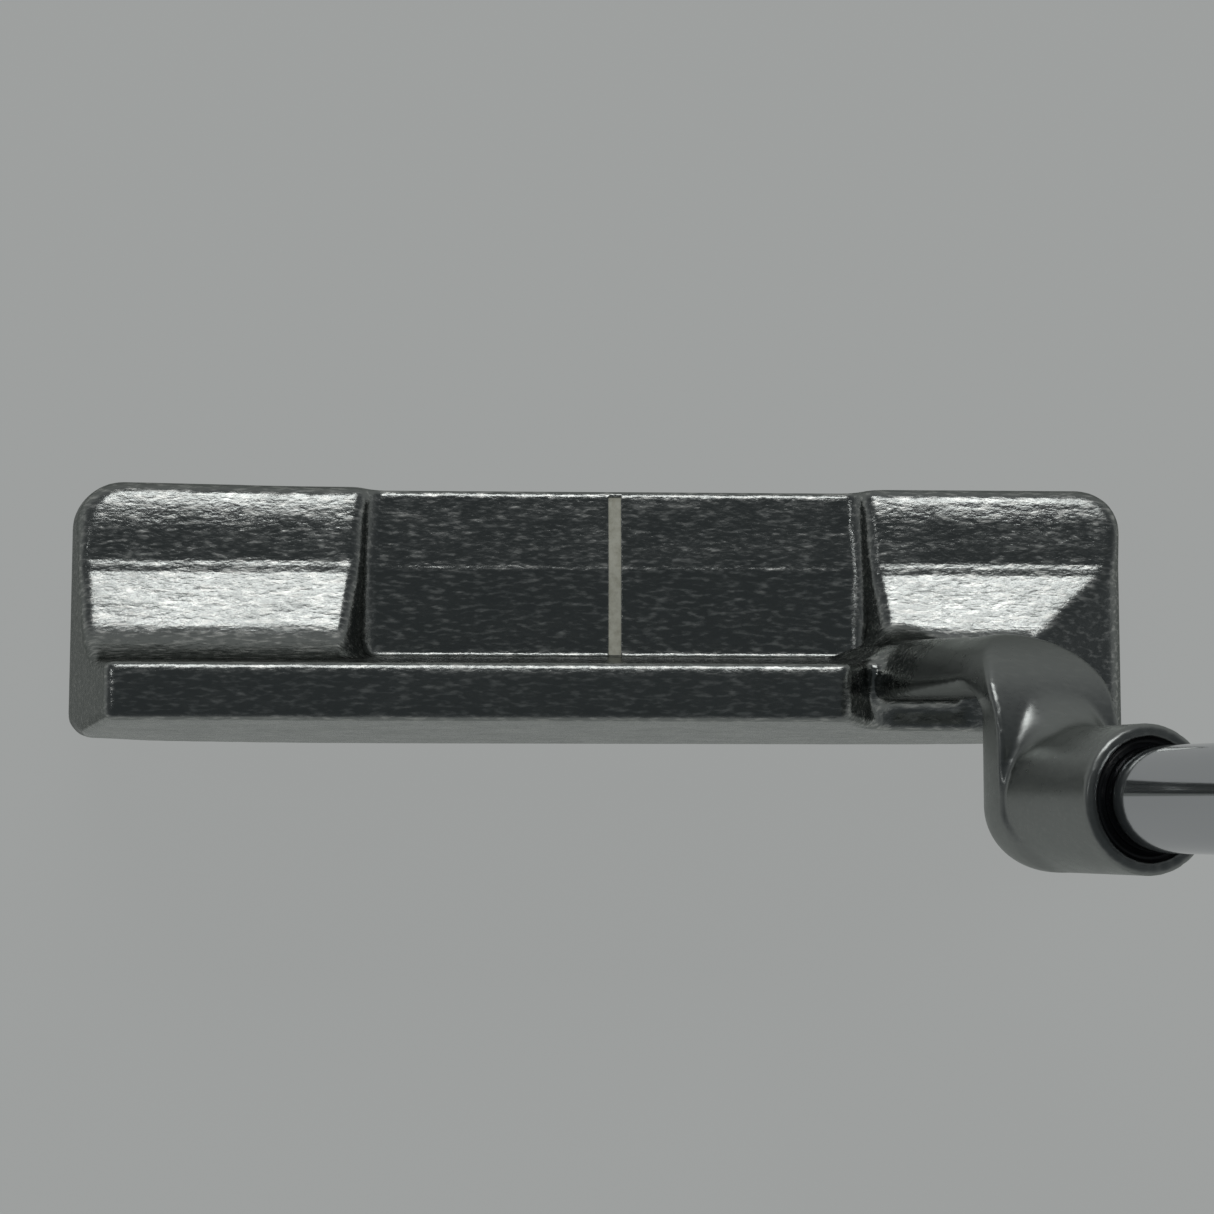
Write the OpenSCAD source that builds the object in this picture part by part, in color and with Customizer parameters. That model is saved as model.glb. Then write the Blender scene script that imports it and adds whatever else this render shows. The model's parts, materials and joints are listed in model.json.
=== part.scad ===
// Right-handed blade putter: cast head with a plumber's neck, stepped steel shaft,
// pistol grip. Millimetres. X runs from toe to heel, Y from the face to the rear, Z up.
// The origin is on the flat of the sole, under the sight line.

/* [Blade] */
// Distance from the sight line to the toe end
toe_x = 59.45; // [54:0.05:62]
// Distance from the sight line to the heel end
heel_x = 55.45; // [54:0.05:60]
// Depth of the head at the sight line, from the leading edge to the rear edge
head_depth = 27.75; // [27:0.05:30]
// Height of the topline above the ground
face_h = 25.9; // [24:0.1:28]
// Thickness of the blade at its topline
topline_t = 5.75; // [5:0.05:6.5]
// Lean of the face away from the ball, in degrees
loft = 4; // [2:0.5:5]
// Height of the leading edge above the ground
lead_h = 1.6; // [1:0.1:2.5]
// Length of the flat of the sole, toe to heel
sole_flat_l = 48; // [30:1:60]
// Radius of the sole's camber beyond its flat
camber_r = 150; // [120:5:250]

/* [Cavity and bumpers] */
// Height of the cavity floor
floor_h = 8; // [7:0.1:9]
// Distance of the crease from the leading edge
crease_y = 18.8; // [17:0.1:20]
// Half width of the cavity floor
cavity_half = 27; // [24:0.1:29]
// How far each bumper's inner wall leans out over its height
bumper_lean = 1.7; // [0.5:0.1:3]
// Height of the bumpers at the crease
bumper_h = 11; // [10.5:0.1:12]
// Height of the bumpers at the foot of the blade
bumper_root_h = 14.6; // [13:0.1:15.5]

/* [Neck] */
// Lie angle between the shaft and the ground
lie = 70.5; // [69:0.5:73]
// Distance from the sight line to where the shaft's axis meets the ground
shaft_foot_x = 25.1; // [24:0.1:27]
// Distance of the shaft's axis in front of the leading edge
shaft_lead = 6.4; // [5:0.1:6.6]
// Outer radius of the socket collar
collar_r = 6.7; // [6.4:0.05:7.2]
// Distance from the ground to the collar's mouth, along the shaft
collar_top = 60.4; // [58:0.1:64]
// Distance from the ground to the collar's closed end, along the shaft
collar_base = 41; // [39:0.1:42]
// Height of the arm between the post and the collar
arm_t = 5.8; // [5.5:0.1:7]

/* [Shaft] */
// Length of the club along the shaft, from the ground to the grip's end
club_l = 889; // [838:1:914]
// Outer radius of the shaft's tip
tip_r = 4.7; // [4.6:0.01:4.8]
// Outer radius of the shaft's butt
butt_r = 7.62; // [7.4:0.01:7.7]
// Wall thickness of the shaft
wall = 0.55; // [0.4:0.05:0.8]
// Number of steps between the tip and the butt
steps = 13; // [8:1:14]
// Distance between two steps
step_pitch = 31.75; // [25:0.25:32]
// Distance from the ground to the first step
first_step = 215; // [180:1:220]

/* [Grip] */
// Length of the grip
grip_l = 267; // [255:1:270]
// Thickness of the tape under the grip
tape_t = 0.15; // [0.1:0.05:0.3]
// Radius of the cap in the grip's end
cap_r = 9.5; // [8.5:0.1:10]
// Thickness of the cap in the grip's end
cap_t = 3; // [2:0.1:4]
// Radius of the vent hole in the cap
vent_r = 1.5; // [1:0.1:2]

/* [Hidden] */
$fn = 64;

sole_y = 14;             // the origin's distance behind the leading edge
face_lean = tan(loft);
topline_y = (face_h - lead_h) * face_lean;
back_lean = 0.107;       // lean of the blade's back, depth over height
topline_heel = 23;       // where the topline stops, heelward of the sight line
topline_toe = 51.9;
shelf_h = 17.4;          // the step beside the neck
slope_top = 37;          // the heel slope runs from here down to the heel
slope_end_h = 10.4;
bumper_rear_h = 9.6;
rear_bow = 0.25;         // the bumpers reach behind the flange, the toe's more so
toe_bow = 0.8;
line_w = 1.4;            // sight line: width and depth
line_d = 0.7;
lap = 0.5;               // how far a cut runs past the metal

knuckle_y = 9.6;         // from the shaft's axis to the centre of the neck's rear end
neck_x = -0.4;           // the neck sits this far toward the toe from the shaft's axis
post_half = 4.2;         // half width of the post at its foot, and where it would reach the arm's top
post_half_top = 7.3;
post_front = 10.6;       // from the shaft's axis to the post's flat front
post_base = 12;
elbow_rear = 16.8;
elbow_r = 12.3;
glue_t = 0.1;            // adhesive between the shaft and the socket
bead_r = 5.5;            // the bead that fills the socket's mouth
bead_d = 1.2;
socket_end = collar_base + 3;

// A polygon's corners are [x, y, r]; each is rounded to its own radius r.
function unit(v) = v / norm(v);
function rounded_corner(a, b, c, r, n = 8) =
    let (u = unit(a - b), v = unit(c - b), half = acos(u * v) / 2)
    let (o = b + unit(u + v) * r / sin(half), reach = r / tan(half))
    let (s = b + u * reach - o, e = b + v * reach - o)
    let (start = atan2(s.y, s.x), turn = atan2(s.x * e.y - s.y * e.x, s * e))
    [for (i = [0:n]) o + r * [cos(start + turn * i / n), sin(start + turn * i / n)]];
function flat(p) = [p.x, p.y];
function rounded(p) = [for (i = [0:len(p) - 1])
    let (a = flat(p[(i + len(p) - 1) % len(p)]), c = flat(p[(i + 1) % len(p)]))
    each p[i].z > 0 ? rounded_corner(a, flat(p[i]), c, p[i].z) : [flat(p[i])]];

// Lifts a flat outline into a solid: [y, z] along X, or [x, z] along Y.
module along_x(from, to) {
    translate([from, 0, 0]) rotate([90, 0, 90]) linear_extrude(to - from) children();
}
module along_y(from, to) {
    translate([0, to, 0]) rotate([90, 0, 0]) linear_extrude(to - from) children();
}
// Shapes drawn from the leading edge, and shapes drawn along the shaft's axis.
module from_lead() {
    translate([0, -sole_y, 0]) children();
}
module on_shaft() {
    from_lead() translate([shaft_foot_x, -shaft_lead, 0]) rotate([0, 90 - lie, 0]) children();
}

function back_y(z) = topline_y + topline_t + (face_h - z) * back_lean;
function camber_z(x) = pow(max(0, abs(x) - sole_flat_l / 2), 2) / (2 * camber_r);

// Section of the blade and a bumper, seen from the toe.
module blade_section() {
    rear_y = head_depth + toe_bow;
    polygon(rounded([
        [0, lead_h, 0.8], [5, 0, 3], [21, 0, 6], [rear_y - 1.4, 1.8, 1.5],
        [rear_y, 5, 1.5], [rear_y, bumper_rear_h, 2.2],
        [crease_y, bumper_h, 0], [back_y(bumper_root_h) + 1.3, bumper_root_h, 4],
        [back_y(18), 18, 0], [back_y(face_h), face_h, 0.4], [topline_y, face_h, 0.8]
    ]));
}

// Outline of the blade seen from the front.
module face_outline() {
    toe_run = [for (x = [-toe_x + 3:6:-sole_flat_l / 2]) [x, camber_z(x), 0]];
    heel_run = [for (x = [sole_flat_l / 2:6:heel_x - 3]) [x, camber_z(x), 0]];
    polygon(rounded(concat(toe_run, heel_run, [
        [heel_x, camber_z(heel_x), 1.2], [heel_x, slope_end_h, 2.2],
        [slope_top, shelf_h, 3], [topline_heel + 4.2, shelf_h, 2.5],
        [topline_heel, face_h, 0.8], [-topline_toe, face_h, 1],
        [-toe_x, 6, 0.3], [-toe_x, camber_z(toe_x), 1.2]
    ])));
}

// Outline of the head seen from above.
module plan_outline() {
    polygon(rounded([
        [-toe_x, -lap, 0.5], [heel_x, -lap, 0.5],
        [heel_x, head_depth + rear_bow, 4.5], [cavity_half + 3, head_depth + rear_bow, 0],
        [cavity_half, head_depth, 0], [-cavity_half, head_depth, 0],
        [-cavity_half - 3, head_depth + rear_bow, 0], [-toe_x, head_depth + toe_bow, 5]
    ]));
}

// What is cut away between the bumpers, above the cavity floor and the rear flange.
module cavity() {
    top = face_h + lap;
    rear = head_depth + toe_bow + lap;
    intersection() {
        along_y(0, rear) polygon([
            [-cavity_half, 0], [cavity_half, 0], [cavity_half, floor_h],
            [cavity_half + bumper_lean, bumper_h + 3], [cavity_half + bumper_lean, top],
            [-cavity_half - bumper_lean, top], [-cavity_half - bumper_lean, bumper_h + 3],
            [-cavity_half, floor_h]
        ]);
        along_x(-toe_x, heel_x) polygon([
            [back_y(floor_h), floor_h], [crease_y, floor_h], [rear, floor_h - 1],
            [rear, top], [back_y(top), top]
        ]);
    }
}

// The groove of the sight line, filled by paint. It follows the floor and the flange.
module sight_groove() {
    along_x(-line_w / 2, line_w / 2) polygon([
        [back_y(floor_h) + 0.2, floor_h], [crease_y, floor_h], [head_depth - 0.6, floor_h - 0.91],
        [head_depth - 0.6, floor_h - 0.91 - line_d], [crease_y, floor_h - line_d],
        [back_y(floor_h) + 0.2, floor_h - line_d]
    ]);
}

// The neck, an oblong seen along the shaft: the arm runs from the collar to the knuckle,
// and the post, cut flat in front and tapered, goes down into the blade.
module neck() {
    top = collar_base + arm_t;
    translate([neck_x, 0, 0]) intersection() {
        along_x(-collar_r - 1, collar_r + 1) polygon(rounded([
            [0, collar_base, 0], [post_front, collar_base, 2.5], [post_front, post_base, 0],
            [elbow_rear, post_base, 0], [elbow_rear, top, elbow_r], [0, top, 0]
        ]));
        union() {
            along_y(0, knuckle_y) polygon(rounded([
                [-collar_r, collar_base, 2], [collar_r, collar_base, 2], [collar_r, top, 0],
                [-collar_r, top, 0]
            ]));
            intersection() {
                translate([0, knuckle_y, post_base]) cylinder(r = collar_r, h = top - post_base);
                along_y(0, elbow_rear) polygon([
                    [-post_half, post_base], [post_half, post_base], [post_half_top, top],
                    [-post_half_top, top]
                ]);
            }
        }
    }
}

module collar() {
    rotate_extrude() polygon(rounded([
        [0, collar_base, 0], [collar_r, collar_base, 2], [collar_r, collar_top, 0.6],
        [0, collar_top, 0]
    ]));
}

module socket() {
    translate([0, 0, socket_end]) cylinder(r = tip_r + glue_t, h = collar_top);
    translate([0, 0, collar_top - bead_d]) cylinder(r = bead_r, h = bead_d + lap);
}

module head() {
    color([0.33, 0.34, 0.34]) difference() {
        union() {
            from_lead() difference() {
                intersection() {
                    along_x(-toe_x, heel_x) blade_section();
                    along_y(-lap, head_depth + toe_bow + lap) face_outline();
                    linear_extrude(face_h + lap) plan_outline();
                }
                cavity();
                sight_groove();
            }
            on_shaft() neck();
            on_shaft() collar();
        }
        on_shaft() socket();
    }
}

module sight_line() {
    color([0.88, 0.86, 0.76]) from_lead() sight_groove();
}

// Film of adhesive round the shaft, with a bead in the collar's mouth.
module socket_adhesive() {
    color([0.05, 0.05, 0.06]) on_shaft() rotate_extrude() polygon([
        [tip_r, socket_end], [tip_r + glue_t, socket_end],
        [tip_r + glue_t, collar_top - bead_d], [bead_r, collar_top - bead_d],
        [bead_r, collar_top - 0.5], [tip_r, collar_top - 0.2]
    ]);
}

function step_r(i) = tip_r + (butt_r - tip_r) * i / steps;
function shaft_edge(inset) = [
    [tip_r - inset, socket_end],
    for (i = [0:steps - 1], up = [0, 1]) [step_r(i + up) - inset, first_step + i * step_pitch + up],
    [butt_r - inset, club_l - cap_t]
];
function reversed(list) = [for (i = [len(list) - 1:-1:0]) list[i]];

module shaft() {
    color([0.80, 0.81, 0.83]) on_shaft() rotate_extrude()
        polygon(concat(shaft_edge(0), reversed(shaft_edge(wall))));
}

module grip_tape() {
    color([0.85, 0.83, 0.78]) on_shaft() translate([0, 0, club_l - grip_l + 4])
        difference() {
            cylinder(r = butt_r + tape_t, h = grip_l - cap_t - 4);
            translate([0, 0, -lap]) cylinder(r = butt_r, h = grip_l);
        }
}

// Stations down the pistol grip: [distance from its end, width, depth behind the axis].
grip_front = 10.4;       // the flat where the thumbs rest, ahead of the shaft's axis
grip_stations = [[grip_l, 20, 9.8], [185, 21, 10.6], [110, 22.5, 12], [66, 24, 15.5],
    [32, 26, 21.5], [10, 26.5, 22], [0, 24.5, 20.5]];
module grip_slice(s) {
    nose_r = min(s.y * 0.36, s.z * 0.8);
    end_in = s.x == 0 ? 0.8 : 0;
    translate([0, 0, club_l - s.x]) {
        for (side = [-1, 1])
            translate([-grip_front + 4 + end_in, side * (s.y / 2 - 4), -0.05])
                cylinder(r = 4, h = 0.05, $fn = 32);
        translate([s.z - nose_r, 0, -0.05]) cylinder(r = nose_r, h = 0.05, $fn = 32);
    }
}

module grip() {
    color([0.07, 0.07, 0.075]) on_shaft() difference() {
        union() {
            for (i = [0:len(grip_stations) - 2])
                hull() {
                    grip_slice(grip_stations[i]);
                    grip_slice(grip_stations[i + 1]);
                }
        }
        translate([0, 0, club_l - grip_l - lap]) cylinder(r = butt_r + tape_t, h = grip_l + 1);
        translate([0, 0, club_l - cap_t]) cylinder(r = cap_r, h = cap_t + lap);
    }
}

module grip_cap() {
    color([0.09, 0.09, 0.095]) on_shaft() translate([0, 0, club_l - cap_t]) difference() {
        cylinder(r = cap_r, h = cap_t);
        translate([0, 0, -lap]) cylinder(r = vent_r, h = cap_t + 1);
    }
}

head();
sight_line();
socket_adhesive();
shaft();
grip_tape();
grip();
grip_cap();
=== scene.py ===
# %% [markdown]
# # A blade putter, made around its CAD frame
#
# This lesson dresses a right-handed blade putter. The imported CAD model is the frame: it says
# where every piece is and how big it is. Here each piece gets the surface that the real one
# has: a tumbled steel casting, worn paint in the sight line, chrome on the shaft and rubber
# on the grip. Work through the cells in order. Each one defines a value or a helper just
# before it is needed, and prints what it made.

# %% Load the frame
import json
import math

import bpy
import bmesh
import numpy as np
import openvdb
from mathutils import Matrix, Vector


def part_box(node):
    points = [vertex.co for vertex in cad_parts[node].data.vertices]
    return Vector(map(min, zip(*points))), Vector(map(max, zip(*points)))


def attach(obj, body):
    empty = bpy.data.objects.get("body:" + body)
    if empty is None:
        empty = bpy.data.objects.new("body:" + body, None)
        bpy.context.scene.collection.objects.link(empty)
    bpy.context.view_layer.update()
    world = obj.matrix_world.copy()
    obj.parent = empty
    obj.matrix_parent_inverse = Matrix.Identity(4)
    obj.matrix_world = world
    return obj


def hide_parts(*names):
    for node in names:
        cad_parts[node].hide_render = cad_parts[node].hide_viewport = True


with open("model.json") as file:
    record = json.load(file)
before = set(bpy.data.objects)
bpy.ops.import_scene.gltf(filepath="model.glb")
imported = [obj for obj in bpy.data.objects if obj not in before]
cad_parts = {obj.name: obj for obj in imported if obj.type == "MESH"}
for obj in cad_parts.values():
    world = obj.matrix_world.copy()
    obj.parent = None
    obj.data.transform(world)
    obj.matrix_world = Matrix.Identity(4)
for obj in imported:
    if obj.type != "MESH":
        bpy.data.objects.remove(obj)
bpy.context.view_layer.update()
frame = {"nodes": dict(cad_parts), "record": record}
MM = 0.001
MOUNTS = {mount["name"]: mount for mount in frame["record"]["mounts"]}
print("nodes in the frame:", ", ".join(sorted(frame["nodes"])))

# %% [markdown]
# The shaft's axis carries most of the club, so it is worth having at hand. The record
# gives it: the vent hole in the grip's end lies on it and points along it. `SHAFT_FOOT` is
# the point where the axis would meet the ground, and distances along the shaft are
# measured from there.

# %% The shaft's axis
VENT = MOUNTS["grip_vent"]
AXIS = Vector(VENT["axis"]).normalized()
SHAFT_FOOT = Vector(VENT["pos_m"]) - AXIS * (VENT["pos_m"][2] / AXIS.z)
CLUB_L = (Vector(VENT["pos_m"]) - SHAFT_FOOT).length
LIE = math.asin(AXIS.z)
# local Z runs up the shaft, local X points to the heel and down, local Y to the rear
SHAFT_MATRIX = Matrix.Translation(SHAFT_FOOT) @ Matrix.Rotation(math.pi / 2 - LIE, 4, "Y")
print(f"lie {math.degrees(LIE):.1f} degrees, club {CLUB_L:.3f} m")

# %% [markdown]
# ## The camera
#
# The club is seen from above, from a little in front of the face, as a golfer who leans
# over the ball would see it. The camera hangs a quarter of a metre over the head, so the
# near end of the neck looks larger than the blade. It is turned by small angles about
# three axes, one after the other.

# %% Camera
CAMERA_AT = (-0.010007, -0.021921, 0.256644)
CAMERA_TURN = (5.225, -2.096, 0.264)      # degrees about X, then Y, then Z
FIELD_OF_VIEW = 29.72                     # degrees across the square frame

camera = bpy.data.objects.new("camera", bpy.data.cameras.new("camera"))
bpy.context.scene.collection.objects.link(camera)
camera.data.sensor_width = 36
camera.data.lens = 18 / math.tan(math.radians(FIELD_OF_VIEW) / 2)
camera.data.clip_start = 0.01
camera.rotation_mode = "ZYX"
camera.location = CAMERA_AT
camera.rotation_euler = [math.radians(angle) for angle in CAMERA_TURN]
bpy.context.scene.camera = camera
print(f"lens {camera.data.lens:.1f} mm")

# %% [markdown]
# ## Colours and materials
#
# Every colour below is an sRGB hex value, as a colour picker shows it. Shaders work in
# linear light, so one function turns hex to linear. `add` puts a node in a tree with its
# settings and links: one small helper is enough for every kind of node.

# %% Colour and node helpers


def linear(hex_colour):
    """An sRGB hex colour as linear RGBA."""
    srgb = [int(hex_colour[i:i + 2], 16) / 255 for i in (0, 2, 4)]
    return [c / 12.92 if c <= 0.04045 else ((c + 0.055) / 1.055) ** 2.4 for c in srgb] + [1]


def add(tree, kind, settings=None, **inputs):
    """Add a node; inputs are values, or sockets to link, by name (_ stands for a space)."""
    node = tree.nodes.new(kind)
    for name, value in (settings or {}).items():
        setattr(node, name, value)
    for name, value in inputs.items():
        key = int(name[1:]) if name[0] == "i" and name[1:].isdigit() else name.replace("_", " ")
        if isinstance(value, bpy.types.NodeSocket):
            tree.links.new(value, node.inputs[key])
        else:
            node.inputs[key].default_value = value
    return node


def new_material(name):
    """A material with an empty tree, its Principled shader and object coordinates."""
    material = bpy.data.materials.new(name)
    material.use_nodes = True
    tree = material.node_tree
    tree.nodes.clear()
    shader = add(tree, "ShaderNodeBsdfPrincipled")
    add(tree, "ShaderNodeOutputMaterial", Surface=shader.outputs["BSDF"])
    place = add(tree, "ShaderNodeTexCoord").outputs["Object"]
    return material, tree, shader, place


# %% [markdown]
# ## The head
#
# The real head is one investment casting in stainless steel. Its faces are flat or gently
# curved, every edge was softened in a tumbler, and the neck grows out of the blade with
# wide blends. Boxes with bevels would break where three blends meet. A distance field
# suits such a shape: each face is a function that says how far a point lies outside it,
# `edge` joins two of them with a rounded edge, `blend` with a fillet, and the surface is
# where the result is zero.

# %% Rounded joints of distance fields


def edge(a, b, r):
    """The common part of two solids, its edge rounded to radius r."""
    return np.minimum(-r, np.maximum(a, b)) + np.hypot(np.maximum(a + r, 0), np.maximum(b + r, 0))


def blend(a, b, r):
    """Two solids joined, with a fillet of radius r between them."""
    return np.maximum(r, np.minimum(a, b)) - np.hypot(np.maximum(r - a, 0), np.maximum(r - b, 0))


def slope(u, v, start, end):
    """How far (u, v) lies to the left of the line from start to end."""
    du, dv = end[0] - start[0], end[1] - start[1]
    return ((v - start[1]) * du - (u - start[0]) * dv) / math.hypot(du, dv)


def ease(value, low, high):
    """0 below low, 1 above high, and a smooth step between."""
    t = np.clip((value - low) / (high - low), 0, 1)
    return t * t * (3 - 2 * t)


# %% [markdown]
# The head's sizes are in millimetres. The overall ones come from the frame's box and the
# mounts; the rest are the facets of such a casting: the height of the cavity floor, the
# crease where the flange begins, the bumpers at toe and heel, and the step beside the neck.

# %% The head's sizes
head_low, head_high = (Vector(corner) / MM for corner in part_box("head"))
LEAD_Y = -14.0                       # the leading edge, in front of the sole's middle
TOE, HEEL = -59.4, 55.4
DEPTH = 27.7                         # leading edge to the flange's rear edge
FACE_H = 25.9                        # ground to topline
LEAD_H = 1.6                         # ground to leading edge
LOFT = math.asin(MOUNTS["face"]["axis"][2])
TOPLINE_T = 5.75
BACK_LEAN = 0.107
FLOOR_H, CREASE_Y, FLANGE_H = 8.0, 18.8, 7.0
CAVITY_HALF, CAVITY_LEAN = 27.0, 1.7
BUMPER_H, BUMPER_ROOT_H, BUMPER_REAR_H = 11.0, 14.6, 9.6
REAR_FALL = 0.157                    # how steeply the bumpers' rear falls
BEVEL_SLOPE, WORN_SLOPE, WORN_W = 0.5, 0.45, 0.75
LIP_H, LIP_W = 0.13, 0.32            # the slight lip along the crease
SHELF_H = 17.4
print(f"head {head_high.x - head_low.x:.1f} x {DEPTH:.1f} mm, loft {math.degrees(LOFT):.1f}")

# %% The blade, its cavity and its bumpers


def back_of_blade(z):
    return (FACE_H - LEAD_H) * math.tan(LOFT) + TOPLINE_T + (FACE_H - z) * BACK_LEAN


def blade_field(x, y, z):
    """Distance outside the blade, with y measured from the leading edge."""
    face = (z - LEAD_H) * math.sin(LOFT) - y * math.cos(LOFT)
    back = (y - back_of_blade(z)) * math.cos(math.atan(BACK_LEAN))
    # the outline seen from the front: topline, notch, shelf and heel slope
    shelf = edge(z - SHELF_H, slope(x, z, (37, SHELF_H), (54.6, 10.7)), 0.3)
    top = edge(blend(slope(x, z, (23, FACE_H), (27.2, SHELF_H)), shelf, 2.5), z - FACE_H, 0.9)
    # the floor and the flange between the bumpers
    lip = LIP_H * np.exp(-((y - CREASE_Y) / LIP_W) ** 2)
    floor = edge(z - FLOOR_H, slope(y, z, (CREASE_Y, FLOOR_H), (DEPTH, FLANGE_H)), 0.2) - lip
    # the bumpers: a slope down from the blade, then a nearly level rear
    root_y = back_of_blade(BUMPER_ROOT_H) + 1.3
    bumper = blend(slope(y, z, (root_y, BUMPER_ROOT_H), (CREASE_Y, BUMPER_H)),
                   slope(y, z, (CREASE_Y, BUMPER_H), (DEPTH, BUMPER_REAR_H)), 0.15) - lip
    wide = 0.9 + 0.8 * ease(-x, 0, 28)
    bevel = BEVEL_SLOPE * (y - DEPTH + wide) + z - BUMPER_REAR_H - REAR_FALL * wide
    bumper = edge(bumper, bevel / math.hypot(1, BEVEL_SLOPE), 1.0)
    side = slope(-np.abs(x), z, (-CAVITY_HALF - CAVITY_LEAN, 14), (-CAVITY_HALF, FLOOR_H))
    behind = blend(floor, edge(bumper, side, 1.4), 1.6)
    on_bumper = ease(np.abs(x), CAVITY_HALF - 1.5, CAVITY_HALF + 3)
    body = edge(blend(back, behind, 0.3 + 3.7 * on_bumper), top, 0.5)
    # the topline's rear edge has a narrow bevel
    worn = WORN_SLOPE * (y - back_of_blade(FACE_H) + WORN_W) + z - FACE_H
    body = edge(body, worn / math.hypot(1, WORN_SLOPE), 0.25)
    # the sides, rounded at the rear corners
    toe = edge(slope(x, z, (TOE, 6.0), (-51.9, FACE_H)), TOE - x, 0.2)
    bow = 0.25 * on_bumper + 0.4 * ease(-x, 30, 58)
    sides = edge(edge(toe, y - DEPTH - bow, 5), x - HEEL, 4.5)
    rear = ease(y, CREASE_Y, CREASE_Y + 5)
    round_heel = 1.1 * ease(x, 40, 52) * (1 - rear)
    body = edge(body, sides, 0.9 + rear * (0.9 * on_bumper - 0.3) + round_heel)
    # the cambered sole, with a bevel at the front and at the rear
    ground = z - np.maximum(np.abs(x) - 24, 0) ** 2 / 300
    sole = edge(-ground, slope(y, ground, (5, 0), (0, LEAD_H)), 0.3)
    sole = edge(sole, slope(y, ground, (DEPTH - 1.4, 1.8), (21, 0)), 0.3)
    low_toe = ease(-x, 50, 57) * (1 - ease(z, 5, 14))
    return edge(edge(body, sole, 1.2), face, 0.9 + 2 * low_toe)


# %% [markdown]
# Looked at along the shaft, the neck is an oblong with round ends: the collar is the front
# end and the knuckle the rear one. Looked at from the toe it is an upside-down L: the arm,
# the elbow and the post that goes down into the blade. So its field is those two outlines
# crossed. The post gets narrower towards the blade, and the arm's underside is rounded
# more than its top edge.

# %% The neck, its arm and the collar
COLLAR_R, COLLAR_BASE, COLLAR_TOP = 6.7, 41.0, 60.4
MOUTH_R, MOUTH_DEPTH = 5.5, 1.2
KNUCKLE_Y = 9.6                      # from the shaft's axis to the knuckle's centre
NECK_X = -0.4                        # the neck sits this far toward the toe
POST_FRONT = 10.6                    # from the shaft's axis to the post's flat front
ARM_TOP = 46.8
ELBOW_REAR, ELBOW_R = 16.8, 12.3


def oval_edge(a, b, ra, rb):
    """The common part of two solids, its edge an ellipse: ra across a, rb across b."""
    return np.minimum(ra, rb) * edge(a / ra, b / rb, 1)


def neck_field(x, y, z):
    """Distance outside the neck, with x, y, z along the shaft's own axes."""
    narrow = 0.62 + 0.38 * ease(z, 12, 42)
    out = np.abs(x - NECK_X) / narrow
    behind = y - KNUCKLE_Y - 0.9 * (1 - ease(z, 18, 34))
    round_end = np.hypot(out, np.maximum(behind, 0)) - COLLAR_R
    square_end = np.hypot(np.maximum(out - 0.5, 0), np.maximum(-y - 0.5, 0)) - COLLAR_R + 0.5
    outline = np.where(y > 3, round_end, square_end)
    under = blend(COLLAR_BASE - z, POST_FRONT - y, 2.5)
    at_arm = ease(z, 36, 41) * (1 - ease(y, 8, 12))
    body = oval_edge(outline - ease(z, 48, 49.5), under, 1.5 + 1.1 * at_arm, 1.5 + 4.1 * at_arm)
    elbow = edge(z - ARM_TOP, y - ELBOW_REAR, ELBOW_R)
    barrel = np.hypot(x, y) - COLLAR_R
    saddle = 0.5 + 3.3 * ease(y, 2, 6) * (1 - ease(np.abs(x), 2.5, 6.5)) + 1.5 * ease(-y, 1, 4)
    body = edge(body, blend(elbow, barrel, saddle), 0.4)
    body = edge(body, z - COLLAR_TOP, 0.6)
    mouth = np.maximum(barrel + COLLAR_R - MOUTH_R, COLLAR_TOP - MOUTH_DEPTH - z)
    return edge(body, -mouth, 0.35)


def head_field(x, y, z):
    """Distance outside the head, in the frame's own axes, in millimetres."""
    foot = SHAFT_FOOT / MM
    u, w = x - foot.x, z - foot.z
    across = u * math.sin(LIE) - w * math.cos(LIE)
    along = u * math.cos(LIE) + w * math.sin(LIE)
    neck = neck_field(across, y - foot.y, along)
    fillet = 1.8 + 1.7 * ease(y - LEAD_Y, 4.5, 8)
    return blend(blade_field(x, y - LEAD_Y, z), np.maximum(neck, 12 - z), fillet)


# %% [markdown]
# The field is sampled on a grid, and the zero surface is drawn through it as quads. Each
# vertex is then slid along the field's gradient until it lies on the true surface, which
# takes the grid's pattern out of the highlights.

# %% Turn the field into a mesh
CELL = 0.42                          # grid spacing in millimetres


def mesh_of_field(name, field, low, high, cell):
    """The zero surface of a distance field, as a new object in metres."""
    low = np.array(low) - 3 * cell
    counts = np.ceil((np.array(high) + 3 * cell - low) / cell).astype(int)
    lines = [(low[i] + cell * np.arange(counts[i])).astype(np.float32) for i in range(3)]
    x, y, z = np.meshgrid(*lines, indexing="ij", sparse=True)
    values = np.broadcast_to(field(x, y, z), counts).astype(np.float32)
    grid = openvdb.FloatGrid()
    grid.background = 4 * cell
    grid.copyFromArray(values)
    points, _, quads = grid.convertToPolygons(0, 0)
    points = points.astype(np.float64) * cell + low
    step = 0.01
    for _ in range(3):
        here = field(*points.T)
        grad = np.stack([(field(*(points + step * axis).T) - here) / step for axis in np.eye(3)], 1)
        size = np.maximum(np.sum(grad ** 2, axis=1), 0.3)
        move = np.clip(here / size, -cell / 2, cell / 2)
        points -= grad * move[:, None]
    mesh = bpy.data.meshes.new(name)
    mesh.from_pydata((points * MM).tolist(), [], quads[:, ::-1].tolist())
    mesh.polygons.foreach_set("use_smooth", [True] * len(mesh.polygons))
    piece = bpy.data.objects.new(name, mesh)
    bpy.context.scene.collection.objects.link(piece)
    return piece


head = mesh_of_field("head_casting", head_field, head_low, head_high, CELL)
print(f"head: {2 * len(head.data.polygons)} triangles")

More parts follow.
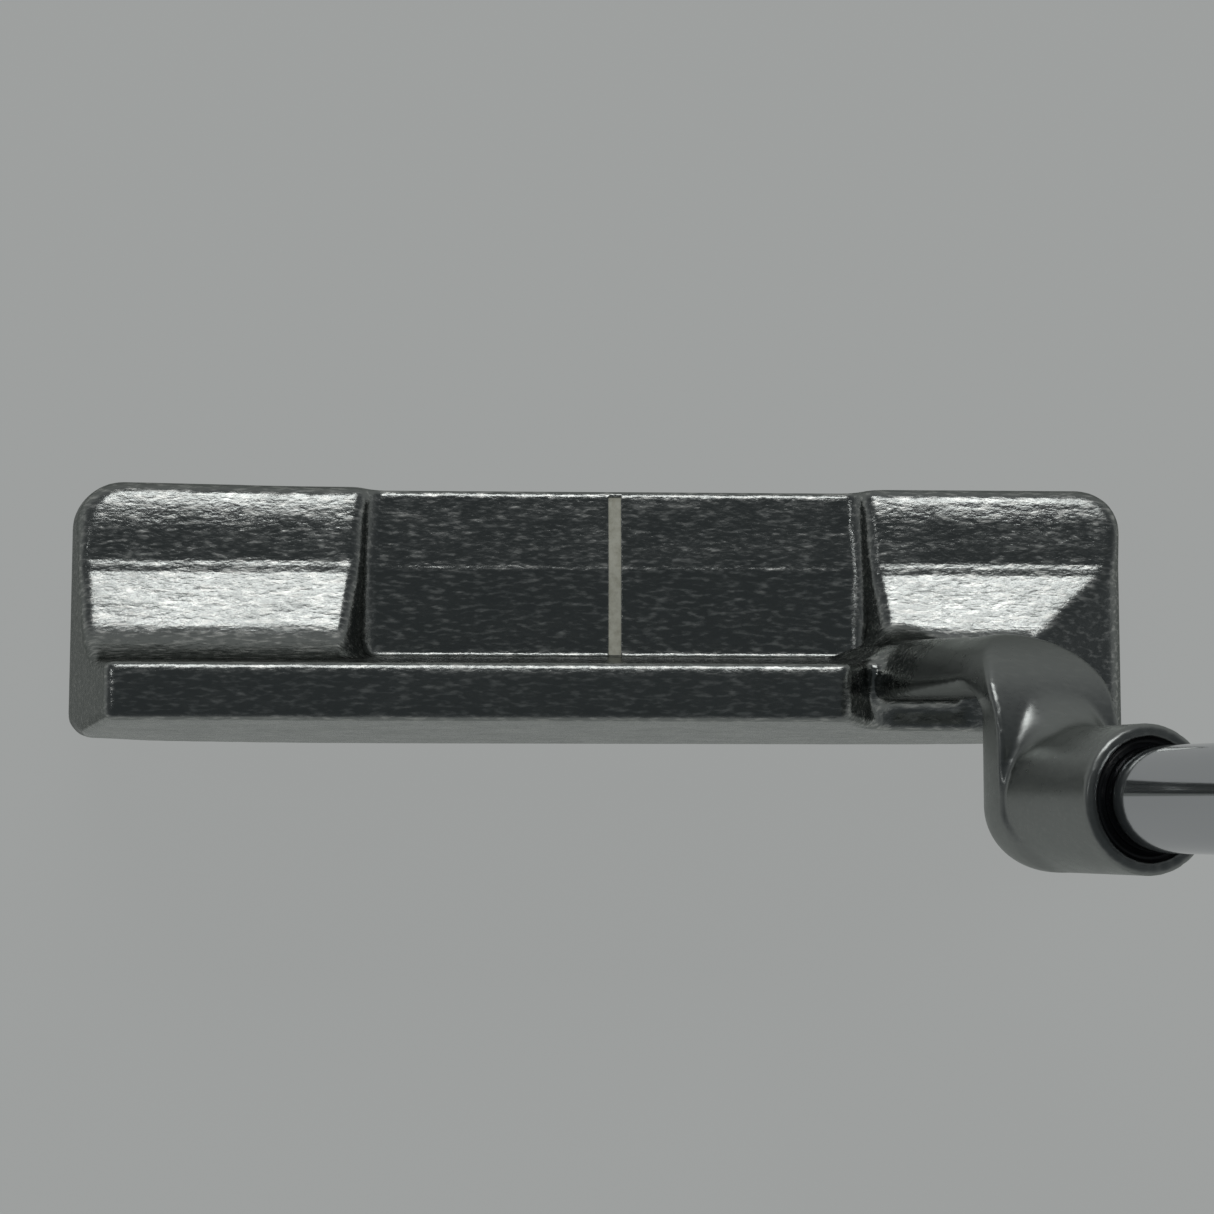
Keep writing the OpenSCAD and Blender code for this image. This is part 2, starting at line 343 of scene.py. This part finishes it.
# %% [markdown]
# The sight line's groove is cut last, because it must stay crisp. Its walls follow the
# floor and the flange, so the cutter is a small box bent at the crease.

# %% Cut the sight line's groove
LINE_W, LINE_D = 1.4, 0.7            # the groove, in millimetres
GROOVE_FRONT, GROOVE_REAR = 9.55, 27.1


def floor_height(y):
    """Height of the cavity floor or of the flange, in millimetres."""
    return FLOOR_H - max(0, y - CREASE_Y) * (FLOOR_H - FLANGE_H) / (DEPTH - CREASE_Y)


def strip(name, rows, half_width, top, bottom):
    """A closed strip along Y: top and bottom give its heights at each row."""
    form = bmesh.new()
    rings = []
    for y in rows:
        corners = [(-half_width, top(y)), (half_width, top(y)),
                   (half_width, bottom(y)), (-half_width, bottom(y))]
        rings.append([form.verts.new((x * MM, (y + LEAD_Y) * MM, z * MM)) for x, z in corners])
    for near, far in zip(rings, rings[1:]):
        for i in range(4):
            form.faces.new((near[i], near[(i + 1) % 4], far[(i + 1) % 4], far[i]))
    form.faces.new(rings[0][::-1])
    form.faces.new(rings[-1])
    bmesh.ops.recalc_face_normals(form, faces=form.faces)
    mesh = bpy.data.meshes.new(name)
    form.to_mesh(mesh)
    form.free()
    piece = bpy.data.objects.new(name, mesh)
    bpy.context.scene.collection.objects.link(piece)
    return piece


def evaluated_mesh(piece):
    """The piece's mesh with its modifiers applied, as a plain new mesh."""
    bpy.context.view_layer.update()
    graph = bpy.context.evaluated_depsgraph_get()
    return bpy.data.meshes.new_from_object(piece.evaluated_get(graph))


cutter = strip("groove_cutter", (GROOVE_FRONT, CREASE_Y, GROOVE_REAR), LINE_W / 2,
               lambda y: floor_height(y) + 1, lambda y: floor_height(y) - LINE_D)
cut = head.modifiers.new("groove", "BOOLEAN")
cut.object, cut.operation, cut.solver = cutter, "DIFFERENCE", "EXACT"
cut_mesh = evaluated_mesh(head)
head.modifiers.clear()
head.data = cut_mesh
bpy.data.objects.remove(cutter)
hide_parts("head")
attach(head, "root")
print(f"head after the groove: {len(head.data.polygons)} faces")

# %% [markdown]
# ## Tumbled cast steel
#
# The casting was blasted and then tumbled with ceramic chips. That leaves a satin grey
# skin full of tiny flat facets and short scratches, which glint one by one as the club
# turns. Three noises, stretched from toe to heel, make it: facets roughen the skin,
# scratches are its lighter, duller flecks, and patches let both come and go. The neck is
# smoother, so they fade out where it leaves the blade. The face is made to look lighter
# than the rest by a brighter edge tint, set by a mask on the face's plane: a painted reflection.

# %% Head material
FACET = 0.22 * MM                    # size of one tumbled facet
steel, tree, shader, place = new_material("tumbled_cast_stainless")
stretched = add(tree, "ShaderNodeMapping", Vector=place, Scale=(0.5, 1, 1)).outputs["Vector"]
facets = add(tree, "ShaderNodeTexNoise", Vector=stretched, Scale=0.6 / FACET, Detail=3,
             Roughness=0.6).outputs["Fac"]
patches = add(tree, "ShaderNodeTexNoise", Vector=stretched, Scale=0.08 / FACET, Detail=3,
              Roughness=0.6).outputs["Fac"]
along = add(tree, "ShaderNodeMapping", Vector=place, Scale=(0.3, 1, 1),
            Rotation=(0, 0, 0.3)).outputs["Vector"]
flecks = add(tree, "ShaderNodeTexNoise", Vector=along, Scale=0.5 / FACET, Detail=2,
             Roughness=0.5).outputs["Fac"]
heights = add(tree, "ShaderNodeMath", {"operation": "MULTIPLY_ADD"}, i0=patches, i1=3.2, i2=facets)
spot = add(tree, "ShaderNodeSeparateXYZ", Vector=place)
on_blade = add(tree, "ShaderNodeMapRange", {"interpolation_type": "SMOOTHSTEP"},
               Value=spot.outputs["Z"], From_Min=0.024, From_Max=0.030,
               To_Min=1.0, To_Max=0.08).outputs["Result"]
# in front of this plane, parallel to the face and 0.16 to 0.31 mm behind it, is the face
from_face = add(tree, "ShaderNodeMath", {"operation": "MULTIPLY_ADD"}, i0=spot.outputs["Z"],
                i1=-math.tan(LOFT), i2=spot.outputs["Y"]).outputs["Value"]
painted_face_reflection_mask = add(tree, "ShaderNodeMapRange", Value=from_face, From_Min=-0.01395, From_Max=-0.01380,
              To_Min=1, To_Max=0).outputs["Result"]
scratched = add(tree, "ShaderNodeMapRange", Value=flecks, From_Min=0.50, From_Max=0.74)
scratches = add(tree, "ShaderNodeMath", {"operation": "MULTIPLY"}, i0=on_blade,
                i1=scratched.outputs["Result"]).outputs["Value"]
skin = add(tree, "ShaderNodeMath", {"operation": "ADD"}, i0=facets, i1=patches).outputs["Value"]
satin = add(tree, "ShaderNodeMapRange", Value=skin, From_Min=0.7, From_Max=1.3,
            To_Min=0.26, To_Max=0.40).outputs["Result"]
worn = add(tree, "ShaderNodeMath", {"operation": "MULTIPLY_ADD"}, i0=scratches, i1=0.12,
           i2=satin).outputs["Value"]
rough = add(tree, "ShaderNodeMath", {"operation": "MULTIPLY_ADD"}, i0=on_blade, i1=-0.11, i2=worn)
tint = add(tree, "ShaderNodeMix", {"data_type": "RGBA"}, Factor=scratches)
tint.inputs["A"].default_value = linear("8d908e")
tint.inputs["B"].default_value = linear("c8c9c5")
# the face alone gets a brighter edge tint: painted reflection that makes the face read lighter
edge_tint_with_painted_face = add(tree, "ShaderNodeMix", {"data_type": "RGBA"}, Factor=painted_face_reflection_mask)
edge_tint_with_painted_face.inputs["A"].default_value = linear("b0b2b0")
edge_tint_with_painted_face.inputs["B"].default_value = linear("eef0ee")
bump = add(tree, "ShaderNodeBump", Height=heights.outputs["Value"], Strength=on_blade,
           Distance=0.042 * MM)
tree.links.new(tint.outputs["Result"], shader.inputs["Base Color"])
tree.links.new(edge_tint_with_painted_face.outputs["Result"], shader.inputs["Specular Tint"])
tree.links.new(rough.outputs["Value"], shader.inputs["Roughness"])
tree.links.new(bump.outputs["Normal"], shader.inputs["Normal"])
shader.inputs["Metallic"].default_value = 1
head.data.materials.clear()
head.data.materials.append(steel)
print("material:", steel.name)

# %% [markdown]
# ## The sight line's paint
#
# Enamel was run into the groove and wiped off, so its surface lies a little below the
# metal, hollow in the middle, with a rougher, dirtier band where chips have scoured it.

# %% Paint in the groove


def paint_top(y):
    return floor_height(y) - 0.14


line = strip("sight_line_paint", np.linspace(GROOVE_FRONT + 0.02, GROOVE_REAR - 0.02, 40),
             LINE_W / 2 - 0.01, paint_top, lambda y: floor_height(y) - LINE_D + 0.02)
enamel, tree, shader, place = new_material("cream_enamel_worn")
worn = add(tree, "ShaderNodeTexNoise", Vector=place, Scale=0.9 / MM, Detail=4,
           Roughness=0.65).outputs["Fac"]
dirt = add(tree, "ShaderNodeMapRange", Value=worn, From_Min=0.42, From_Max=0.68).outputs["Result"]
tint = add(tree, "ShaderNodeMix", {"data_type": "RGBA"}, Factor=dirt)
tint.inputs["A"].default_value = linear("f6f5e4")
tint.inputs["B"].default_value = linear("d9d7c4")
bump = add(tree, "ShaderNodeBump", Height=worn, Strength=0.4, Distance=0.06 * MM)
tree.links.new(tint.outputs["Result"], shader.inputs["Base Color"])
tree.links.new(bump.outputs["Normal"], shader.inputs["Normal"])
shader.inputs["Roughness"].default_value = 0.5
line.data.materials.append(enamel)
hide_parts("sight_line")
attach(line, "root")
print("sight line:", len(line.data.polygons), "faces")

# %% [markdown]
# ## Turned pieces
#
# The shaft, the adhesive round its tip and the cap in the grip's end are all turned
# shapes: one profile, swept round the shaft's axis. One helper makes them. A profile
# is a closed loop of [radius, distance along the shaft] in millimetres; it is turned by an
# exact number of steps, so the seam closes on itself.

# %% A helper for turned pieces


def turned(name, profile, segments, smooth_angle=30):
    """The closed profile turned round the shaft's axis, as a new object."""
    form = bmesh.new()
    rings = []
    for radius, along in profile:
        ring = []
        for i in range(segments):
            turn = 2 * math.pi * i / segments
            local = Vector((radius * math.cos(turn), radius * math.sin(turn), along)) * MM
            ring.append(form.verts.new(SHAFT_MATRIX @ local))
        rings.append(ring)
    for here, there in zip(rings, rings[1:] + rings[:1]):
        for i in range(segments):
            j = (i + 1) % segments
            form.faces.new((here[i], here[j], there[j], there[i]))
    bmesh.ops.recalc_face_normals(form, faces=form.faces)
    mesh = bpy.data.meshes.new(name)
    form.to_mesh(mesh)
    form.free()
    mesh.polygons.foreach_set("use_smooth", [True] * len(mesh.polygons))
    mesh.set_sharp_from_angle(angle=math.radians(smooth_angle))
    piece = bpy.data.objects.new(name, mesh)
    bpy.context.scene.collection.objects.link(piece)
    return piece


# %% [markdown]
# ## The shaft
#
# A putter shaft is drawn from steel tube in steps: its radius grows by the same small
# amount at each step from the tip to the butt. Each step is a short cone, a millimetre
# long. The tube is hollow, so its profile goes up the outside and down the inside.

# %% Stepped shaft
TIP_R, BUTT_R, WALL = 4.7, 7.62, 0.55
SHAFT_BOTTOM, SHAFT_TOP = 44.0, 886.0
STEPS, STEP_PITCH, FIRST_STEP = 13, 31.75, 215.0


def shaft_profile(inset):
    """The shaft's outline on one side, from the tip to the butt."""
    rows = [(TIP_R - inset, SHAFT_BOTTOM)]
    for i in range(STEPS):
        start = FIRST_STEP + i * STEP_PITCH
        rows.append((TIP_R + (BUTT_R - TIP_R) * i / STEPS - inset, start))
        rows.append((TIP_R + (BUTT_R - TIP_R) * (i + 1) / STEPS - inset, start + 1))
    rows.append((BUTT_R - inset, SHAFT_TOP))
    return rows


shaft = turned("stepped_shaft", shaft_profile(0) + shaft_profile(WALL)[::-1], 128, 10)
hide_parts("shaft")
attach(shaft, "root")
print("shaft:", len(shaft.data.polygons), "faces,", STEPS, "steps")

# %% [markdown]
# The chrome plate is polished and nearly a mirror. Fine hairlines run round it from
# polishing and from wiping, and a faint haze varies from place to place.

# %% Chrome material
chrome, tree, shader, place = new_material("polished_chrome_plate")
centred = add(tree, "ShaderNodeMapping", {"vector_type": "TEXTURE"}, Vector=place,
              Location=SHAFT_FOOT, Rotation=(0, math.pi / 2 - LIE, 0)).outputs["Vector"]
hairs = add(tree, "ShaderNodeMapping", Vector=centred, Scale=(0.05, 0.05, 1)).outputs["Vector"]
hairlines = add(tree, "ShaderNodeTexNoise", Vector=hairs, Scale=1.6 / MM, Detail=2).outputs["Fac"]
haze = add(tree, "ShaderNodeTexNoise", Vector=centred, Scale=0.03 / MM, Detail=4).outputs["Fac"]
rough = add(tree, "ShaderNodeMapRange", Value=haze, From_Min=0.3, From_Max=0.7,
            To_Min=0.05, To_Max=0.12)
bump = add(tree, "ShaderNodeBump", Height=hairlines, Strength=0.12, Distance=0.005 * MM)
tree.links.new(rough.outputs["Result"], shader.inputs["Roughness"])
tree.links.new(bump.outputs["Normal"], shader.inputs["Normal"])
shader.inputs["Base Color"].default_value = linear("bcbec0")
shader.inputs["Metallic"].default_value = 1
shaft.data.materials.append(chrome)
print("material:", chrome.name)

# %% [markdown]
# ## The adhesive
#
# Black epoxy holds the shaft in its socket. The mouth of the collar is filled with it, and
# it sank a little between the shaft and the wall as it cured, so its top is hollow.

# %% Adhesive bead
BEAD_IN, BEAD_OUT = (TIP_R, 60.15), (MOUTH_R - 0.02, 59.95)
bead_top = []
for i in range(9):
    part = i / 8
    radius = BEAD_OUT[0] + (BEAD_IN[0] - BEAD_OUT[0]) * part
    level = BEAD_OUT[1] + (BEAD_IN[1] - BEAD_OUT[1]) * part
    bead_top.append((radius, level - 0.35 * math.sin(math.pi * part)))
bead_profile = [(TIP_R, SHAFT_BOTTOM), (TIP_R + 0.1, SHAFT_BOTTOM),
                (TIP_R + 0.1, COLLAR_TOP - MOUTH_DEPTH), (BEAD_OUT[0], COLLAR_TOP - MOUTH_DEPTH)]
bead = turned("adhesive_bead", bead_profile + bead_top, 96, 40)
epoxy, tree, shader, place = new_material("black_epoxy")
ripple = add(tree, "ShaderNodeTexNoise", Vector=place, Scale=0.5 / MM, Detail=3).outputs["Fac"]
rough = add(tree, "ShaderNodeMapRange", Value=ripple, To_Min=0.16, To_Max=0.42)
bump = add(tree, "ShaderNodeBump", Height=ripple, Strength=0.5, Distance=0.08 * MM)
tree.links.new(rough.outputs["Result"], shader.inputs["Roughness"])
tree.links.new(bump.outputs["Normal"], shader.inputs["Normal"])
shader.inputs["Base Color"].default_value = linear("0f1114")
bead.data.materials.append(epoxy)
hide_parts("socket_adhesive")
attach(bead, "root")
print("adhesive:", len(bead.data.polygons), "faces")

# %% [markdown]
# ## The grip
#
# A pistol grip is moulded rubber with a flat front for the thumbs and a keel behind that
# swells towards the butt, where the top hand's heel rests. Its width and depth are known
# at a few stations; between them they are drawn smoothly, and the cross-section is half
# an ellipse behind and a rounded flat in front. That is again a field, so the helper that
# meshed the head is used here too. It is made along the shaft's own axes, then turned
# into place.

# %% Grip body
GRIP_L, BORE_R = 267.0, BUTT_R + 0.15
GRIP_FRONT, WIDEST = -10.4, -3.4     # the flat, and the widest line, ahead of the axis
CAP_R, CAP_T, VENT_R = 9.5, 3.0, 1.5
CLUB = CLUB_L / MM
from_butt = np.linspace(0, GRIP_L, 268)
STATIONS = np.array([[0, 24.5, 20.5], [10, 26.5, 22], [32, 26, 21.5], [66, 24, 15.5],
                     [110, 22.5, 12], [185, 21, 10.6], [267, 20, 9.8]])


def smoothed(column):
    """A column of the stations, every millimetre, with its corners eased over 25 mm."""
    rough_line = np.interp(from_butt, STATIONS[:, 0], STATIONS[:, column])
    return np.convolve(np.pad(rough_line, 12, "edge"), np.ones(25) / 25, "valid")


GRIP_WIDTH, GRIP_DEPTH = smoothed(1), smoothed(2)


def grip_field(x, y, z):
    """Distance outside the grip, in millimetres along the shaft's own axes."""
    back = CLUB - z
    half = np.interp(back, from_butt, GRIP_WIDTH) / 2
    keel = np.interp(back, from_butt, GRIP_DEPTH) - WIDEST
    oval = (np.hypot(y / half, np.maximum(x - WIDEST, 0) / keel) - 1) * half
    body = edge(oval, GRIP_FRONT - x, 4)
    body = edge(body, z - CLUB, 2.2)
    body = edge(body, back - GRIP_L, 1.2)
    axis_r = np.hypot(x, y)
    hollow = np.minimum(axis_r - BORE_R, np.maximum(axis_r - CAP_R, CLUB - CAP_T - z))
    return edge(body, -hollow, 0.3)


grip = mesh_of_field("pistol_grip", grip_field, (GRIP_FRONT, -13.5, CLUB - GRIP_L),
                     (23, 13.5, CLUB), 0.75)
grip.data.transform(SHAFT_MATRIX)
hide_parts("grip")
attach(grip, "root")
print(f"grip: {2 * len(grip.data.polygons)} triangles")

# %% [markdown]
# The thumb flat has rows of low moulded ribs, so that the thumbs don't slip. Ribs repeat,
# so Geometry Nodes place them: a line of points down the flat, one short rounded bar on
# each. The bars lean alternately left and right, which makes a herringbone.

# %% Thumb ribs with Geometry Nodes


def add_input(tree, name, kind, value):
    """A named input of the tree, and its socket identifier."""
    socket = tree.interface.new_socket(name, in_out="INPUT", socket_type=kind)
    socket.default_value = value
    return socket.identifier


rib_tree = bpy.data.node_groups.new("thumb_ribs", "GeometryNodeTree")
rib_ids = {
    "count": add_input(rib_tree, "Rib count", "NodeSocketInt", 10),
    "pitch": add_input(rib_tree, "Rib pitch", "NodeSocketFloat", 0.003),
    "length": add_input(rib_tree, "Rib length", "NodeSocketFloat", 0.007),
    "radius": add_input(rib_tree, "Rib radius", "NodeSocketFloat", 0.0005),
    "lean": add_input(rib_tree, "Rib lean", "NodeSocketFloat", 0.5),
    "rubber": add_input(rib_tree, "Rubber", "NodeSocketMaterial", None),
}
rib_tree.interface.new_socket("Geometry", in_out="OUTPUT", socket_type="NodeSocketGeometry")
inlet = rib_tree.nodes.new("NodeGroupInput").outputs
step_up = add(rib_tree, "ShaderNodeCombineXYZ", Z=inlet["Rib pitch"]).outputs["Vector"]
row = add(rib_tree, "GeometryNodeMeshLine", Count=inlet["Rib count"], Offset=step_up)
index = add(rib_tree, "GeometryNodeInputIndex").outputs["Index"]
odd = add(rib_tree, "ShaderNodeMath", {"operation": "MODULO"}, i0=index, i1=2.0).outputs["Value"]
side = add(rib_tree, "ShaderNodeMath", {"operation": "MULTIPLY_ADD"}, i0=odd, i1=2.0,
           i2=-1.0).outputs["Value"]
turn = add(rib_tree, "ShaderNodeMath", {"operation": "MULTIPLY"}, i0=side,
           i1=inlet["Rib lean"]).outputs["Value"]
turn = add(rib_tree, "ShaderNodeMath", {"operation": "ADD"}, i0=turn,
           i1=math.pi / 2).outputs["Value"]
facing = add(rib_tree, "ShaderNodeCombineXYZ", X=turn).outputs["Vector"]
bar = add(rib_tree, "GeometryNodeMeshCylinder", Vertices=12, Radius=inlet["Rib radius"],
          Depth=inlet["Rib length"])
ribs = add(rib_tree, "GeometryNodeInstanceOnPoints", Points=row.outputs["Mesh"],
           Instance=bar.outputs["Mesh"], Rotation=facing)
real = add(rib_tree, "GeometryNodeRealizeInstances", Geometry=ribs.outputs["Instances"])
painted = add(rib_tree, "GeometryNodeSetMaterial", Geometry=real.outputs["Geometry"],
              Material=inlet["Rubber"])
outlet = rib_tree.nodes.new("NodeGroupOutput")
rib_tree.links.new(painted.outputs["Geometry"], outlet.inputs["Geometry"])
print("tree:", rib_tree.name, "with", len(rib_tree.nodes), "nodes")

# %% [markdown]
# ## Moulded rubber
#
# The rubber is matte and nearly black, with the pores and the fine cord pattern of its
# mould. Hands polish it, so its roughness wanders. The cap is a smoother, harder rubber.

# %% Rubber materials


def moulded_rubber(name, base, pale, pore, depth, low, high):
    """A rubber with pores of the given size and depth, in metres, and wandering gloss."""
    rubber, tree, shader, place = new_material(name)
    pores = add(tree, "ShaderNodeTexVoronoi", Vector=place, Scale=1 / pore).outputs["Distance"]
    wear = add(tree, "ShaderNodeTexNoise", Vector=place, Scale=0.06 / MM, Detail=4).outputs["Fac"]
    tint = add(tree, "ShaderNodeMix", {"data_type": "RGBA"}, Factor=wear)
    tint.inputs["A"].default_value = linear(base)
    tint.inputs["B"].default_value = linear(pale)
    rough = add(tree, "ShaderNodeMapRange", Value=wear, From_Min=0.3, From_Max=0.7,
                To_Min=low, To_Max=high)
    bump = add(tree, "ShaderNodeBump", Height=pores, Strength=0.6, Distance=depth)
    tree.links.new(tint.outputs["Result"], shader.inputs["Base Color"])
    tree.links.new(rough.outputs["Result"], shader.inputs["Roughness"])
    tree.links.new(bump.outputs["Normal"], shader.inputs["Normal"])
    return rubber


grip_rubber = moulded_rubber("moulded_grip_rubber", "141516", "242628", 1.1 * MM, 0.12 * MM,
                             0.52, 0.78)
cap_rubber = moulded_rubber("smooth_cap_rubber", "18191a", "222425", 0.5 * MM, 0.03 * MM,
                            0.35, 0.5)
grip.data.materials.append(grip_rubber)
print("materials:", grip_rubber.name, "and", cap_rubber.name)

# %% Ribs on the flat
RIB_R, RIB_SINK = 0.55, 0.3          # how round a rib is, and how deep its axis lies
host_mesh = bpy.data.meshes.new("thumb_ribs")
host = bpy.data.objects.new("thumb_ribs", host_mesh)
bpy.context.scene.collection.objects.link(host)
modifier = host.modifiers.new("ribs", "NODES")
modifier.node_group = rib_tree
for key, value in (("count", 62), ("pitch", 3.2 * MM), ("length", 8.5 * MM),
                   ("radius", RIB_R * MM), ("lean", 0.45), ("rubber", grip_rubber)):
    modifier[rib_ids[key]] = value
host.update_tag()
rib_mesh = evaluated_mesh(host)
host.modifiers.clear()
host.data = rib_mesh
rib_mesh.transform(SHAFT_MATRIX @ Matrix.Translation(
    ((GRIP_FRONT + RIB_SINK) * MM, 0, (CLUB - 235) * MM)))
rib_mesh.polygons.foreach_set("use_smooth", [True] * len(rib_mesh.polygons))
rib_mesh.set_sharp_from_angle(angle=math.radians(50))
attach(host, "root")
print("ribs:", len(rib_mesh.polygons), "faces")

# %% [markdown]
# The cap is turned: a disc with a softened rim, one shallow ring groove and the vent hole
# through its middle. The tape under the grip can't be seen, so the frame's own tube stays
# and only gets its paper-like finish.

# %% Cap and tape
BUTT = CLUB                          # the grip's end, measured along the shaft
cap_profile = [
    (VENT_R, BUTT - CAP_T), (CAP_R - 0.02, BUTT - CAP_T), (CAP_R - 0.02, BUTT - 0.6),
    (CAP_R - 0.2, BUTT - 0.35), (CAP_R - 0.5, BUTT - 0.25), (6.6, BUTT - 0.1),
    (6.3, BUTT - 0.5), (5.7, BUTT - 0.5), (5.4, BUTT - 0.1), (VENT_R + 0.8, BUTT),
    (VENT_R + 0.3, BUTT - 0.05), (VENT_R, BUTT - 0.35)]
cap = turned("vented_cap", cap_profile, 96, 35)
cap.data.materials.append(cap_rubber)
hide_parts("grip_cap")
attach(cap, "root")

paper_tape, tree, shader, place = new_material("masking_tape_paper")
crepe = add(tree, "ShaderNodeTexNoise", Vector=place, Scale=0.8 / MM, Detail=3).outputs["Fac"]
bump = add(tree, "ShaderNodeBump", Height=crepe, Strength=0.5, Distance=0.05 * MM)
tree.links.new(bump.outputs["Normal"], shader.inputs["Normal"])
shader.inputs["Base Color"].default_value = linear("d8cfb4")
shader.inputs["Roughness"].default_value = 0.85
tape = frame["nodes"]["grip_tape"]
tape.data.materials.clear()
tape.data.materials.append(paper_tape)
print("cap:", len(cap.data.polygons), "faces; tape:", tape.name)

# %% [markdown]
# ## Floor and light
#
# A pale floor and a soft studio: the sky is dark overhead, so that the level faces of the
# head read as dark metal, and brighter towards the horizon. One wide soft light stands
# behind the head, low enough to be mirrored by the bumpers' front slopes and by the rear
# edges, and not by the level faces. A small weak one on the toe's side puts a glint on the
# neck and on the edges that run from front to rear.

# %% Stage
FLOOR_COLOUR = "a3a5a4"


def plain_plane(name, size, z):
    mesh = bpy.data.meshes.new(name)
    half = size / 2
    mesh.from_pydata([(-half, -half, z), (half, -half, z), (half, half, z), (-half, half, z)],
                     [], [(0, 1, 2, 3)])
    plane = bpy.data.objects.new(name, mesh)
    bpy.context.scene.collection.objects.link(plane)
    return plane


floor = plain_plane("floor", 30, -0.0002)
backdrop, tree, shader, place = new_material("matte_grey_paper")
shader.inputs["Base Color"].default_value = linear("505251")
shader.inputs["Roughness"].default_value = 0.9
shader.inputs["Specular IOR Level"].default_value = 0
shader.inputs["Emission Color"].default_value = linear(FLOOR_COLOUR)
shader.inputs["Emission Strength"].default_value = 0.88
floor.data.materials.append(backdrop)

world = bpy.data.worlds.new("studio")
bpy.context.scene.world = world
world.use_nodes = True
tree = world.node_tree
tree.nodes.clear()
up = add(tree, "ShaderNodeTexCoord").outputs["Generated"]
height = add(tree, "ShaderNodeSeparateXYZ", Vector=up).outputs["Z"]
sky = add(tree, "ShaderNodeValToRGB", Fac=height)
stops = sky.color_ramp.elements
stops[0].position, stops[0].color = 0.0, linear("9a9c9c")
stops[1].position, stops[1].color = 0.85, linear("4a4e50")
stops.new(0.45).color = linear("5a5d5f")
background = add(tree, "ShaderNodeBackground", Color=sky.outputs["Color"], Strength=1.0)
add(tree, "ShaderNodeOutputWorld", Surface=background.outputs["Background"])


def soft_light(name, towards, distance, width, height, power):
    """A rectangular light that faces the head from the given direction."""
    light = bpy.data.objects.new(name, bpy.data.lights.new(name, "AREA"))
    light.data.shape = "RECTANGLE"
    light.data.size, light.data.size_y = width, height
    light.data.energy = power
    direction = Vector(towards).normalized()
    light.location = direction * distance
    light.rotation_euler = direction.to_track_quat("Z", "Y").to_euler()
    bpy.context.scene.collection.objects.link(light)
    return light


soft_light("rear_softbox", (0.03, 0.79, 0.59), 1.6, 1.1, 0.45, 5.8)
soft_light("toe_lamp", (-0.60, 0.22, 0.75), 1.5, 0.10, 0.10, 0.35)
bpy.context.scene.view_settings.view_transform = "Standard"
print("stage ready")
